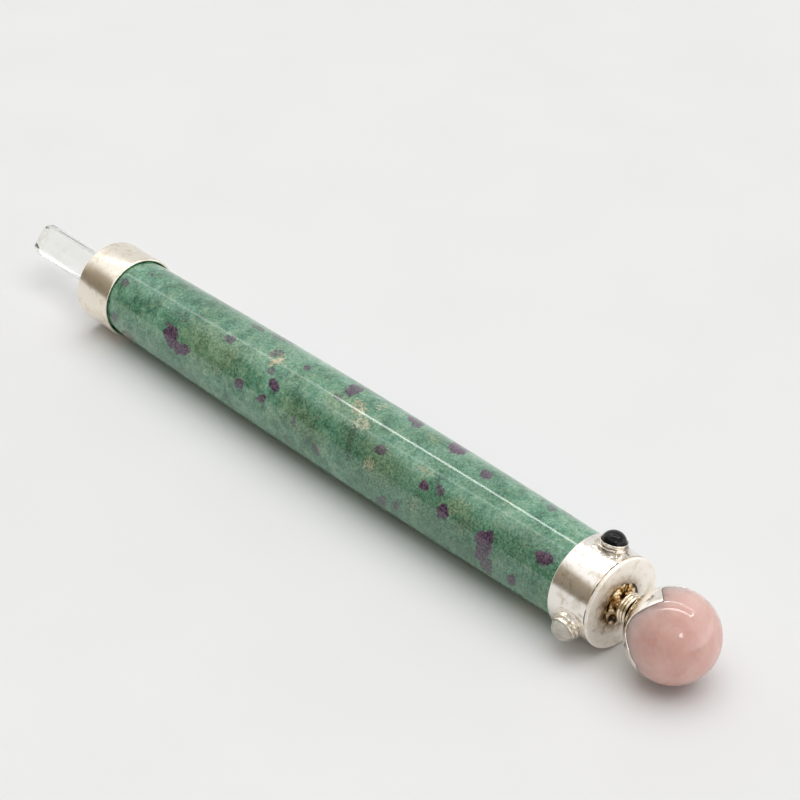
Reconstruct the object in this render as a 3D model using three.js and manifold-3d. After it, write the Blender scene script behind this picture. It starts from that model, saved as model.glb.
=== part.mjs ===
// A ruby fuchsite wand: a polished stone rod with a silver collar on each end, a clear quartz
// point in one collar, three cabochons around the other, and a rose quartz ball in a petal cup.
// Millimetres, +Z up. The wand lies along X, with the quartz point at -X. The origin is on the
// resting surface, under the middle of the collar that holds the quartz point.
import * as THREE from "three";
import { mergeVertices } from "three/addons/utils/BufferGeometryUtils.js";
import Module from "manifold-3d";

const wasm = await Module();
wasm.setup();

// Driving dimensions
const AXIS_HEIGHT = 10;
const COLLAR_SIDES = 32;
const COLLAR_RADIUS = AXIS_HEIGHT / Math.cos(Math.PI / COLLAR_SIDES);
const COLLAR_WALL = 0.45;
const SOLDER_GAP = 0.05;
const SEAT_GAP = 0.3;

const CRYSTAL_COLLAR_LENGTH = 11.44;
const CRYSTAL_COLLAR_EDGE = 0.3;
const CRYSTAL_PLATE = 1.2;
const CRYSTAL_HOLE_RADIUS = 4.5;

const ROD_LENGTH = 144.68;
const ROD_END_RADIUS = 9.2;
const ROD_MIDDLE_RADIUS = 9.95;
const ROD_SIDES = 48;
const ROD_STEPS = 14;
const ROD_FAR_TENON = 8.3;
const ROD_NEAR_TENON = 5;
const ROD_TENON_RADIUS = 9;

const QUARTZ_RADIUS = 4.1;
const QUARTZ_TIP = -36.5;
const QUARTZ_SIDES = 6;
const QUARTZ_BROAD_FACE = 46;
const QUARTZ_THICKNESS = 4.2;
const QUARTZ_FACE_SLOPE = 51.8;
// How far each end face lies off the axis at the tip: the two broad faces meet in a short ridge.
const QUARTZ_FACE_OFFSETS = [0, 1.5, 1.1, 0.15, 1.4, 1.7];

const STONE_COLLAR_LENGTH = 9.1;
const STONE_COLLAR_END_RADIUS = 9.6;
const DISC_RADIUS = 9.65;
const DISC_THICKNESS = 0.84;
const DISC_EDGE = 0.15;

const BALL_RADIUS = 9.23;
const BALL_FROM_RIM = 22.93;
const CUP_GAP = 0.15;
const CUP_WALL = 0.42;
const CUP_SIDES = 64;
const CUP_STEPS = 7;
const BALL_SIDES = 40;
const BALL_STEPS = 22;
// The cup's cut edge: degrees around the axis from the top, and degrees from the neck.
const CUP_EDGE = [
  [-70, 85], [-55, 81], [-42, 77], [-34, 76], [-27, 74], [-20, 66], [-15, 59], [-7, 62], [0, 67],
  [15, 84], [33, 71], [52, 57], [66, 54], [78, 58], [92, 71], [108, 84], [122, 83], [145, 67],
  [162, 56], [178, 63], [200, 82], [214, 84], [233, 71], [250, 59], [264, 64], [280, 81], [290, 85],
];

const NECK_RADIUS = 2.55;
const NECK_FOOT_RADIUS = 4.4;
const NECK_FOOT_HEIGHT = 1.3;
const NECK_STEPS = 5;
const RING_WIRE_RADIUS = 0.32;
const RING_COUNT = 3;
const RING_PITCH = 0.69;
const RING_WIRE_SIDES = 8;
const RING_SIDES = 28;

const BEZEL_FROM_RIM = 5;
const BEZEL_RADIUS = 2.8;
const BEZEL_FOOT_RADIUS = 3.1;
const BEZEL_WALL = 0.3;
// Heights over the wand's axis
const BEZEL_BOTTOM = 8.5;
const BEZEL_SHOULDER = 10;
const BEZEL_SEAT = 10.55;
const BEZEL_LIP = 11.35;
const CABOCHON_GIRDLE = 11.15;
const CABOCHON_APEX = 13.2;
const BEZEL_SIDES = 24;
const CABOCHON_STEPS = 6;
const CABOCHON_ANGLES = { onyx: -12, moonstone: 108, garnet: 228 };

// Places along the axis
const ROD_START = CRYSTAL_COLLAR_LENGTH / 2;
const ROD_FINISH = ROD_START + ROD_LENGTH;
const DISC_START = ROD_FINISH + STONE_COLLAR_LENGTH + SOLDER_GAP;
const DISC_FINISH = DISC_START + DISC_THICKNESS;
const BALL_CENTRE = ROD_FINISH + BALL_FROM_RIM;
const CUP_INNER_RADIUS = BALL_RADIUS + CUP_GAP;
const CUP_OUTER_RADIUS = CUP_INNER_RADIUS + CUP_WALL;

// Finishes
const FUCHSITE = { color: "#6f9a80", roughness: 0.3, metalness: 0 };
const SILVER = { color: "#cfcbc4", roughness: 0.25, metalness: 1 };
const CLEAR_QUARTZ = { color: "#eef1ee", roughness: 0.05, metalness: 0 };
const ROSE_QUARTZ = { color: "#d3a59d", roughness: 0.12, metalness: 0 };
const ONYX = { color: "#111113", roughness: 0.08, metalness: 0 };
const MOONSTONE = { color: "#dfe3e6", roughness: 0.12, metalness: 0 };
const GARNET = { color: "#5b0f18", roughness: 0.1, metalness: 0 };

const wand = new THREE.Group();
wand.position.z = AXIS_HEIGHT;

function addPiece(name, geometry, finish) {
  const piece = new THREE.Mesh(geometry, new THREE.MeshStandardMaterial(finish));
  piece.name = name;
  wand.add(piece);
}

// A profile of [radius, distance along] pairs, turned about +X, with a flat side underneath.
function turned(profile, sides) {
  const points = profile.map(([radius, along]) => new THREE.Vector2(radius, along));
  return new THREE.LatheGeometry(points, sides, Math.PI / sides).rotateZ(-Math.PI / 2);
}

function closed(profile) {
  return [...profile, profile[0]];
}

function solidOf(geometry) {
  const bare = new THREE.BufferGeometry();
  bare.setAttribute("position", geometry.getAttribute("position").clone());
  bare.setIndex(geometry.index);
  const merged = mergeVertices(bare, 1e-4);
  return new wasm.Manifold(
    new wasm.Mesh({
      numProp: 3,
      vertProperties: new Float32Array(merged.getAttribute("position").array),
      triVerts: new Uint32Array(merged.index.array),
    }),
  );
}

function geometryOf(solid) {
  const mesh = solid.getMesh();
  const geometry = new THREE.BufferGeometry();
  geometry.setAttribute("position", new THREE.BufferAttribute(mesh.vertProperties, 3));
  geometry.setIndex(new THREE.BufferAttribute(mesh.triVerts, 1));
  return geometry;
}

// The stone swells gently towards its middle, and its plain ends sit inside the collars.
function rodGeometry() {
  const swell = ROD_MIDDLE_RADIUS - ROD_END_RADIUS;
  const profile = [
    [0, ROD_START - ROD_FAR_TENON],
    [ROD_TENON_RADIUS, ROD_START - ROD_FAR_TENON],
  ];
  for (let step = 0; step <= ROD_STEPS; step++) {
    const share = step / ROD_STEPS;
    const radius = ROD_END_RADIUS + swell * (1 - (2 * share - 1) ** 2);
    profile.push([radius, ROD_START + ROD_LENGTH * share]);
  }
  profile.push([ROD_TENON_RADIUS, ROD_FINISH + ROD_NEAR_TENON]);
  profile.push([0, ROD_FINISH + ROD_NEAR_TENON]);
  return turned(profile, ROD_SIDES);
}

// A short tube with an end plate, pierced for the quartz point.
function crystalCollarGeometry() {
  const inside = COLLAR_RADIUS - COLLAR_WALL;
  const profile = closed([
    [CRYSTAL_HOLE_RADIUS, -ROD_START],
    [COLLAR_RADIUS - CRYSTAL_COLLAR_EDGE, -ROD_START],
    [COLLAR_RADIUS, -ROD_START + CRYSTAL_COLLAR_EDGE],
    [COLLAR_RADIUS, ROD_START],
    [inside, ROD_START],
    [inside, -ROD_START + CRYSTAL_PLATE],
    [CRYSTAL_HOLE_RADIUS, -ROD_START + CRYSTAL_PLATE],
  ]);
  return turned(profile, COLLAR_SIDES);
}

// What lies above a plane that is turned and leaned about the axis, as a block to cut away.
function wasteBlock(turn, lean, along, height) {
  const side = 2 * (ROD_START - QUARTZ_TIP);
  const block = new THREE.BoxGeometry(side, side, side).translate(0, 0, side / 2);
  block.rotateY(lean).translate(along, 0, height).rotateX(turn);
  return solidOf(block);
}

// A flattened six-sided prism cut by six sloping end faces.
function quartzGeometry() {
  const root = ROD_START - ROD_FAR_TENON - SEAT_GAP;
  const length = root - QUARTZ_TIP;
  const facing = THREE.MathUtils.degToRad(QUARTZ_BROAD_FACE);
  const step = (2 * Math.PI) / QUARTZ_SIDES;
  const prism = new THREE.CylinderGeometry(QUARTZ_RADIUS, QUARTZ_RADIUS, length, QUARTZ_SIDES);
  prism.rotateY(step / 2).rotateZ(-Math.PI / 2).rotateX(facing).translate(QUARTZ_TIP + length / 2, 0, 0);
  let crystal = solidOf(prism);
  for (const turn of [facing, facing + Math.PI]) {
    crystal = crystal.subtract(wasteBlock(turn, 0, QUARTZ_TIP, QUARTZ_THICKNESS / 2));
  }
  const lean = -THREE.MathUtils.degToRad(90 - QUARTZ_FACE_SLOPE);
  QUARTZ_FACE_OFFSETS.forEach((offset, face) => {
    crystal = crystal.subtract(wasteBlock(facing + face * step, lean, QUARTZ_TIP, offset));
  });
  return geometryOf(crystal);
}

function stoneCollarGeometry() {
  const profile = closed([
    [COLLAR_RADIUS - COLLAR_WALL, ROD_FINISH],
    [COLLAR_RADIUS, ROD_FINISH],
    [STONE_COLLAR_END_RADIUS, ROD_FINISH + STONE_COLLAR_LENGTH],
    [STONE_COLLAR_END_RADIUS - COLLAR_WALL, ROD_FINISH + STONE_COLLAR_LENGTH],
  ]);
  return turned(profile, COLLAR_SIDES);
}

function discGeometry() {
  const profile = [
    [0, DISC_START],
    [DISC_RADIUS - DISC_EDGE, DISC_START],
    [DISC_RADIUS, DISC_START + DISC_EDGE],
    [DISC_RADIUS, DISC_FINISH - DISC_EDGE],
    [DISC_RADIUS - DISC_EDGE, DISC_FINISH],
    [0, DISC_FINISH],
  ];
  return turned(profile, COLLAR_SIDES);
}

// A post with a spreading foot of solder, hollowed at its end to the back of the cup.
function neckGeometry() {
  const start = DISC_FINISH + SOLDER_GAP;
  const profile = [[0, start]];
  for (let step = 0; step <= NECK_STEPS; step++) {
    const share = step / NECK_STEPS;
    const radius = NECK_RADIUS + (NECK_FOOT_RADIUS - NECK_RADIUS) * (1 - share) ** 2;
    profile.push([radius, start + NECK_FOOT_HEIGHT * share]);
  }
  const seat = CUP_OUTER_RADIUS + SOLDER_GAP;
  for (let step = 0; step <= NECK_STEPS; step++) {
    const radius = NECK_RADIUS * (1 - step / NECK_STEPS);
    profile.push([radius, BALL_CENTRE - Math.sqrt(seat ** 2 - radius ** 2)]);
  }
  return turned(profile, BEZEL_SIDES);
}

function ringGeometry(along) {
  const radius = NECK_RADIUS + RING_WIRE_RADIUS + SOLDER_GAP;
  const ring = new THREE.TorusGeometry(radius, RING_WIRE_RADIUS, RING_WIRE_SIDES, RING_SIDES);
  return ring.rotateY(Math.PI / 2).translate(along, 0, 0);
}

// How far the cup reaches from the neck at an angle around the axis, in degrees.
function cupEdge(angle) {
  const first = CUP_EDGE[0][0];
  const wrapped = first + THREE.MathUtils.euclideanModulo(angle - first, 360);
  const next = CUP_EDGE.findIndex(([around]) => around > wrapped);
  const [start, low] = CUP_EDGE[next - 1];
  const [stop, high] = CUP_EDGE[next];
  return THREE.MathUtils.mapLinear(wrapped, start, stop, low, high);
}

// A thin shell around the back of the ball, its edge cut into four uneven petals.
function cupGeometry() {
  const profile = [];
  for (let step = 0; step <= CUP_STEPS; step++) {
    profile.push([CUP_OUTER_RADIUS, step / CUP_STEPS]);
  }
  for (let step = CUP_STEPS; step >= 0; step--) {
    profile.push([CUP_INNER_RADIUS, step / CUP_STEPS]);
  }
  const shell = profile.map(([radius, share]) => [radius * Math.sin(share), -radius * Math.cos(share)]);
  shell[0][0] = 0;
  shell[shell.length - 1][0] = 0;
  const cup = turned(shell, CUP_SIDES);
  const place = cup.getAttribute("position");
  for (let index = 0; index < place.count; index++) {
    const across = Math.hypot(place.getY(index), place.getZ(index));
    const radius = Math.hypot(place.getX(index), across);
    const around = Math.atan2(-place.getY(index), place.getZ(index));
    const reach = THREE.MathUtils.degToRad(cupEdge(THREE.MathUtils.radToDeg(around)));
    const bend = Math.atan2(across, -place.getX(index)) * reach;
    const out = radius * Math.sin(bend);
    place.setXYZ(index, -radius * Math.cos(bend), -out * Math.sin(around), out * Math.cos(around));
  }
  return cup.translate(BALL_CENTRE, 0, 0);
}

function ballGeometry() {
  return new THREE.SphereGeometry(BALL_RADIUS, BALL_SIDES, BALL_STEPS).translate(BALL_CENTRE, 0, 0);
}

// The collar's outside, a little oversize, as the cutter that shapes the bezels' feet.
function footCutter() {
  const reach = BEZEL_FOOT_RADIUS + BEZEL_WALL;
  const radiusAt = (along) =>
    THREE.MathUtils.lerp(COLLAR_RADIUS, STONE_COLLAR_END_RADIUS, along / STONE_COLLAR_LENGTH) + SOLDER_GAP;
  const low = BEZEL_FROM_RIM - reach;
  const high = BEZEL_FROM_RIM + reach;
  const profile = [
    [0, ROD_FINISH + low],
    [radiusAt(low), ROD_FINISH + low],
    [radiusAt(high), ROD_FINISH + high],
    [0, ROD_FINISH + high],
  ];
  return solidOf(turned(profile, COLLAR_SIDES));
}

// Stands a piece that was turned about +X on the collar, pointing out at an angle from the top.
function standOnCollar(geometry, angle) {
  return geometry
    .rotateY(-Math.PI / 2)
    .rotateX(THREE.MathUtils.degToRad(angle))
    .translate(ROD_FINISH + BEZEL_FROM_RIM, 0, 0);
}

function bezelGeometry(angle) {
  const profile = [
    [0, BEZEL_BOTTOM],
    [BEZEL_FOOT_RADIUS, BEZEL_BOTTOM],
    [BEZEL_FOOT_RADIUS, BEZEL_SHOULDER],
    [BEZEL_RADIUS, BEZEL_SHOULDER + BEZEL_FOOT_RADIUS - BEZEL_RADIUS],
    [BEZEL_RADIUS, BEZEL_LIP],
    [BEZEL_RADIUS - BEZEL_WALL, BEZEL_LIP],
    [BEZEL_RADIUS - BEZEL_WALL, BEZEL_SEAT],
    [0, BEZEL_SEAT],
  ];
  const bezel = standOnCollar(turned(profile, BEZEL_SIDES), angle);
  return geometryOf(solidOf(bezel).subtract(footCutter()));
}

// A round stone with a straight girdle and a high dome.
function cabochonGeometry(angle) {
  const radius = BEZEL_RADIUS - BEZEL_WALL - SOLDER_GAP;
  const seat = BEZEL_SEAT + SOLDER_GAP;
  const profile = [[0, seat], [radius, seat]];
  for (let step = 0; step < CABOCHON_STEPS; step++) {
    const climb = (step / CABOCHON_STEPS) * (Math.PI / 2);
    const height = CABOCHON_GIRDLE + (CABOCHON_APEX - CABOCHON_GIRDLE) * Math.sin(climb);
    profile.push([radius * Math.cos(climb), height]);
  }
  profile.push([0, CABOCHON_APEX]);
  return standOnCollar(turned(profile, BEZEL_SIDES), angle);
}

addPiece("stone_rod", rodGeometry(), FUCHSITE);
addPiece("crystal_collar", crystalCollarGeometry(), SILVER);
addPiece("quartz_point", quartzGeometry(), CLEAR_QUARTZ);
addPiece("stone_collar", stoneCollarGeometry(), SILVER);
addPiece("end_disc", discGeometry(), SILVER);
addPiece("neck_post", neckGeometry(), SILVER);
addPiece("petal_cup", cupGeometry(), SILVER);
addPiece("rose_quartz_ball", ballGeometry(), ROSE_QUARTZ);

for (let ring = 0; ring < RING_COUNT; ring++) {
  const along = BALL_CENTRE - CUP_OUTER_RADIUS - SOLDER_GAP - ring * RING_PITCH;
  addPiece(`neck_ring_${ring + 1}`, ringGeometry(along), SILVER);
}

const CABOCHON_FINISHES = { onyx: ONYX, moonstone: MOONSTONE, garnet: GARNET };
for (const [stone, angle] of Object.entries(CABOCHON_ANGLES)) {
  addPiece(`${stone}_bezel`, bezelGeometry(angle), SILVER);
  addPiece(`${stone}_cabochon`, cabochonGeometry(angle), CABOCHON_FINISHES[stone]);
}

export default wand;
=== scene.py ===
"""Dresses a ruby fuchsite wand: a polished stone rod in silver mounts, with a clear quartz point at
one end, three cabochons around the other, and a rose quartz ball held in a petal cup.

The wand lies along X with the quartz point at -X. Sizes in the classes are millimetres.
"""

import logging
import math
from dataclasses import dataclass
from enum import Enum
from typing import Any, Sequence

import bpy
import numpy as np
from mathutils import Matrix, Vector


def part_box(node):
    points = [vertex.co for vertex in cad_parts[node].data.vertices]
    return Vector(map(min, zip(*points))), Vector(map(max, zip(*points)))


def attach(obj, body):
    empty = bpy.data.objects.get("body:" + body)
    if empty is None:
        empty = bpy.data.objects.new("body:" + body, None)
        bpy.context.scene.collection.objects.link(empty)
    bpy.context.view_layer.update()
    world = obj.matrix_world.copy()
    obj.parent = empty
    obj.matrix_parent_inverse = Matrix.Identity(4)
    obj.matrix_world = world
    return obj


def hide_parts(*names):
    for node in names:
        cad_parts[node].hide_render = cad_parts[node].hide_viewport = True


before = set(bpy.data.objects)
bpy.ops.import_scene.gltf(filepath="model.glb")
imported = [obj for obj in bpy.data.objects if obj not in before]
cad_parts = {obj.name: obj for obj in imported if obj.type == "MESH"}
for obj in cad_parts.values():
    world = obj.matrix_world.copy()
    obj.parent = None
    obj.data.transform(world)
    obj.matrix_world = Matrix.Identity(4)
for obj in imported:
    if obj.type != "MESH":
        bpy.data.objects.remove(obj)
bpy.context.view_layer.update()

MM = 0.001
BODY = "root"
LOG = logging.getLogger("wand")

ALONG = Vector((1.0, 0.0, 0.0))
UP = Vector((0.0, 0.0, 1.0))

Profile = Sequence[tuple[float, float]]
Stops = Sequence[tuple[float, str]]


def node_span(node: str) -> tuple[float, float]:
    """The lowest and highest X of a CAD node, in millimetres."""
    low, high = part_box(node)
    return low.x / MM, high.x / MM


def axis_height() -> float:
    """The height of the wand's axis over the surface that it lies on, in millimetres."""
    low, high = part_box("rose_quartz_ball")
    return (low.z + high.z) / 2 / MM


AXIS = Vector((0.0, 0.0, axis_height()))
COLLAR_RADIUS = axis_height()
BEZEL_FROM_RIM = 5.0


def linear(colour: str) -> tuple[float, float, float, float]:
    """Turns an sRGB hex colour to linear RGBA.

    Args:
        colour: The colour as "#rrggbb".

    Returns:
        The four linear channels, with alpha 1.
    """
    channels = [int(colour[i : i + 2], 16) / 255 for i in (1, 3, 5)]
    red, green, blue = ((c / 12.92) if c <= 0.04045 else ((c + 0.055) / 1.055) ** 2.4 for c in channels)
    return red, green, blue, 1.0


def per_metre(size: float) -> float:
    """The texture scale that draws features of a size in millimetres."""
    return 1.0 / (size * MM)


def outward(angle: float) -> Vector:
    """The direction out from the axis at an angle in degrees from the top, turning to the -Y side."""
    turn = math.radians(angle)
    return Vector((0.0, -math.sin(turn), math.cos(turn)))


def arc(centre: tuple[float, float], radius: float, start: float, stop: float, steps: int) -> list:
    """Points of an arc in a profile.

    Args:
        centre: The arc's centre as radius and distance along.
        radius: The arc's radius.
        start: The first point's angle in degrees, from straight out, turning to along.
        stop: The last point's angle in degrees.
        steps: How many steps the arc has.

    Returns:
        The points, both ends among them.
    """
    points = []
    for step in range(steps + 1):
        turn = math.radians(start + (stop - start) * step / steps)
        points.append((centre[0] + radius * math.cos(turn), centre[1] + radius * math.sin(turn)))
    return points


class Kind(Enum):
    """The kinds of shader node in use."""

    ATTRIBUTE = "ShaderNodeAttribute"
    BACKGROUND = "ShaderNodeBackground"
    BUMP = "ShaderNodeBump"
    COORDINATES = "ShaderNodeTexCoord"
    LIGHT_PATH = "ShaderNodeLightPath"
    MAPPING = "ShaderNodeMapping"
    MATH = "ShaderNodeMath"
    MIX = "ShaderNodeMix"
    NOISE = "ShaderNodeTexNoise"
    OUTPUT = "ShaderNodeOutputMaterial"
    PRINCIPLED = "ShaderNodeBsdfPrincipled"
    RAMP = "ShaderNodeValToRGB"
    RANGE = "ShaderNodeMapRange"
    SEPARATE = "ShaderNodeSeparateXYZ"
    VECTOR_MATH = "ShaderNodeVectorMath"
    VORONOI = "ShaderNodeTexVoronoi"
    WORLD_OUTPUT = "ShaderNodeOutputWorld"


def add_node(
    tree: Any, kind: Kind, inputs: dict | tuple = (), out: int | str = 0, stops: Stops = (), **settings: Any
) -> Any:
    """Adds a shader node with its settings and links.

    Args:
        tree: The node tree.
        kind: The kind of node.
        inputs: Values, or output sockets to link, by the inputs' names or numbers, or in their order.
        out: The output that is wanted, by name or number.
        stops: Positions and hex colours of a colour ramp.
        settings: The node's own settings.

    Returns:
        The wanted output socket, or None from a node without outputs.
    """
    node = tree.nodes.new(kind.value)
    for name, value in settings.items():
        setattr(node, name, value)
    for key, value in inputs.items() if isinstance(inputs, dict) else enumerate(inputs):
        if isinstance(value, bpy.types.NodeSocket):
            tree.links.new(value, node.inputs[key])
        else:
            node.inputs[key].default_value = value
    for index, (position, colour) in enumerate(stops):
        elements = node.color_ramp.elements
        element = elements[index] if index < 2 else elements.new(position)
        element.position = position
        element.color = linear(colour)
    return node.outputs[out] if node.outputs else None


def start_material(name: str) -> tuple[bpy.types.Material, Any]:
    """Makes an empty material.

    Args:
        name: The material's name.

    Returns:
        The material and its node tree.
    """
    material = bpy.data.materials.new(name)
    material.use_nodes = True
    material.node_tree.nodes.clear()
    return material, material.node_tree


def end_material(tree: Any, inputs: dict[str, Any]) -> None:
    """Puts the shader on a material's output, with its values and links by the inputs' names."""
    add_node(tree, Kind.OUTPUT, (add_node(tree, Kind.PRINCIPLED, inputs),))


class Modeller:
    """The hand operations that the pieces are made with."""

    @staticmethod
    def begin(name: str, place: Vector) -> bpy.types.Object:
        """Starts a piece as one point.

        Args:
            name: The piece's name.
            place: The point's place in millimetres.

        Returns:
            The piece, in edit mode.
        """
        bpy.ops.object.select_all(action="DESELECT")
        bpy.ops.mesh.primitive_plane_add(size=MM, location=place * MM)
        piece = bpy.context.object
        piece.name = name
        piece.data.name = name
        bpy.ops.object.mode_set(mode="EDIT")
        bpy.ops.mesh.select_mode(type="VERT")
        bpy.ops.mesh.select_all(action="SELECT")
        bpy.ops.mesh.merge(type="CENTER")
        return piece

    @staticmethod
    def end(piece: bpy.types.Object, smooth_angle: float = 35.0) -> bpy.types.Object:
        """Closes a piece's mesh, puts its place into it and shades it.

        Args:
            piece: The piece, in edit mode.
            smooth_angle: Edges sharper than this many degrees stay sharp.

        Returns:
            The piece, in object mode.
        """
        bpy.ops.mesh.select_all(action="SELECT")
        bpy.ops.mesh.remove_doubles(threshold=0.001 * MM)
        bpy.ops.mesh.normals_make_consistent(inside=False)
        bpy.ops.object.mode_set(mode="OBJECT")
        bpy.ops.object.transform_apply(location=True, rotation=True, scale=True)
        bpy.ops.object.shade_smooth_by_angle(angle=math.radians(smooth_angle))
        return piece

    @classmethod
    def turned(
        cls,
        name: str,
        profile: Profile,
        steps: int,
        foot: Vector = AXIS,
        along: Vector = ALONG,
        smooth_angle: float = 35.0,
    ) -> bpy.types.Object:
        """Draws a profile by extruding a point, and spins it.

        Args:
            name: The piece's name.
            profile: Pairs of radius and distance along, in millimetres.
            steps: How many steps the spin has.
            foot: A point on the axis, in millimetres.
            along: The axis.
            smooth_angle: Edges sharper than this many degrees stay sharp.

        Returns:
            The piece.
        """
        out = UP if along == ALONG else ALONG
        points = [foot + out * radius + along * distance for radius, distance in profile]
        piece = cls.begin(name, points[0])
        for last, point in zip(points, points[1:]):
            bpy.ops.mesh.extrude_region_move(TRANSFORM_OT_translate={"value": (point - last) * MM})
        bpy.ops.mesh.select_all(action="SELECT")
        bpy.ops.mesh.spin(steps=steps, angle=math.tau, center=foot * MM, axis=along)
        return cls.end(piece, smooth_angle)

    @staticmethod
    def roughened(piece: bpy.types.Object, size: float, depth: float) -> None:
        """Pushes a surface in and out.

        Args:
            piece: The piece.
            size: The size of the lumps in millimetres.
            depth: The depth of the relief.
        """
        clouds = bpy.data.textures.new(piece.name + "_relief", "CLOUDS")
        clouds.noise_scale = size * MM
        clouds.noise_depth = 2
        relief = piece.modifiers.new("relief", "DISPLACE")
        relief.texture = clouds
        relief.texture_coords = "LOCAL"
        relief.strength = depth * MM
        relief.mid_level = 0.5
        bpy.context.view_layer.objects.active = piece
        bpy.ops.object.modifier_apply(modifier=relief.name)


def place_piece(
    piece: bpy.types.Object, material: bpy.types.Material, node: str | None = None
) -> None:
    """Gives a finished piece its material and its place in the frame.

    Args:
        piece: The piece.
        material: Its material.
        node: The CAD node that it stands for, if any.
    """
    piece.data.materials.clear()
    piece.data.materials.append(material)
    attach(piece, BODY)
    if node:
        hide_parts(node)
    LOG.info("%s: %d faces", piece.name, len(piece.data.polygons))


@dataclass(frozen=True)
class Mark:
    """A patch of another colour in the stone.

    Attributes:
        along: Its place along the wand in millimetres.
        around: Its place around the rod in degrees from the top.
        length: Half its length in millimetres.
        width: Half its width in millimetres.
        turn: The angle of its length from the rod's axis, in degrees.
        depth: How strong its colour is.
    """

    along: float
    around: float
    length: float
    width: float
    turn: float = 0.0
    depth: float = 1.0


class Mineral(Enum):
    """The minerals that show as patches in the fuchsite, by the name of their attribute."""

    RUBY = "ruby"
    CALCITE = "calcite"
    IRON_STAIN = "iron_stain"
    DARK_SEAM = "dark_seam"
    DEEP_GREEN = "deep_green"


MARKS: dict[Mineral, tuple[Mark, ...]] = {
    Mineral.RUBY: (
        Mark(30, 65, 3.3, 2.2, 40),
        Mark(34.5, 73, 2.6, 1.4, -20),
        Mark(46, 26, 1.6, 1.2, 14, 0.8),
        Mark(55, 69, 1.5, 1.2, -35, 0.9),
        Mark(65, 46, 2.0, 1.2, 22),
        Mark(63, 69, 1.5, 1.0, -25),
        Mark(62, 32, 1.2, 0.9, 7, 0.7),
        Mark(59, 7, 1.6, 1.3, -60, 0.6),
        Mark(47, -17, 2.2, 1.1, 11, 0.6),
        Mark(53, -26, 2.7, 1.4, 8, 0.5),
        Mark(8, 35, 1.5, 1.0, 19, 0.7),
        Mark(12, 3, 1.1, 0.6, 35, 0.7),
        Mark(8, 93, 1.9, 1.2, -64, 0.6),
        Mark(12, 114, 3.6, 1.5, -30, 0.6),
        Mark(68, 2, 1.3, 0.9, 37, 0.8),
        Mark(74, 71, 1.2, 0.8, 74, 0.6),
        Mark(82, 90, 1.9, 0.8, 48, 0.8),
        Mark(81, -10, 3.0, 1.7, 71, 0.9),
        Mark(81, 15, 1.2, 0.9, 0, 0.6),
        Mark(98, -23, 3.1, 1.9, 44, 0.9),
        Mark(111, -22, 3.4, 2.3, 45),
        Mark(99, 43, 1.7, 1.0, -12, 0.8),
        Mark(122, -6, 1.8, 1.2, 54, 0.9),
        Mark(113, 51, 1.3, 1.1),
        Mark(117, 46, 1.3, 1.0, 39, 0.8),
        Mark(120, 66, 1.7, 1.4, 77),
        Mark(132, 66, 2.4, 1.7, -31),
        Mark(132, 83, 2.7, 1.7, -56, 0.9),
        Mark(133, 101, 3.2, 1.7, -73, 0.8),
        Mark(146, 48, 2.3, 1.5, -17),
        Mark(140, 98, 2.0, 1.1, -63, 0.9),
        Mark(102, 107, 3.2, 1.2, -52, 0.6),
        Mark(107, 95, 1.5, 0.8, -76, 0.7),
        Mark(138, -22, 2.3, 1.2, 55, 0.5),
    ),
    Mineral.CALCITE: (
        Mark(61, 16, 2.2, 1.1, -58),
        Mark(60, 12, 4.0, 2.6, 0, 0.35),
        Mark(87, 12, 3.2, 1.8, 38, 0.5),
        Mark(91, 27, 2.8, 2.0, 0, 0.46),
        Mark(90, -10, 3.0, 1.6, 70, 0.3),
        Mark(98, 65, 2.2, 1.8, -22, 0.4),
        Mark(111, 35, 3.2, 1.0, 0, 0.4),
        Mark(112, 79, 2.8, 2.0, -49, 0.25),
    ),
    Mineral.IRON_STAIN: (
        Mark(43, 50, 12.0, 5.5, -4, 0.9),
        Mark(84, 20, 7.0, 4.0, 30, 0.6),
        Mark(76, 66, 8.0, 3.5, 10, 0.6),
        Mark(122, 53, 4.0, 2.2, -24, 0.9),
        Mark(106, -11, 3.0, 2.0, 20, 0.9),
        Mark(126, 66, 3.5, 2.0, -28, 0.6),
        Mark(100, 55, 7.0, 4.0, 20, 0.6),
    ),
    Mineral.DEEP_GREEN: (
        Mark(99, 64, 13.0, 5.0, 6),
        Mark(90, 62, 4.0, 3.0, 60),
        Mark(100, 77, 7.0, 3.5),
        Mark(140, 60, 10.0, 5.0, -8),
        Mark(124, 80, 14.0, 5.5),
        Mark(104, 88, 16.0, 5.0, 10, 0.7),
        Mark(140, 88, 10.0, 5.0, 0, 0.8),
        Mark(45, -14, 20.0, 4.0, 3, 0.6),
        Mark(112, 4, 18.0, 3.5, 0, 0.6),
        Mark(78, 62, 6.0, 3.5, 20, 0.7),
        Mark(28, 100, 14.0, 4.0, 0, 0.5),
    ),
    Mineral.DARK_SEAM: (
        Mark(90.5, 50, 2.6, 1.1, 76),
        Mark(91.5, 66, 2.2, 0.9, 80, 0.8),
        Mark(126, 66, 2.4, 1.2, -28, 0.6),
    ),
}


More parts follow.
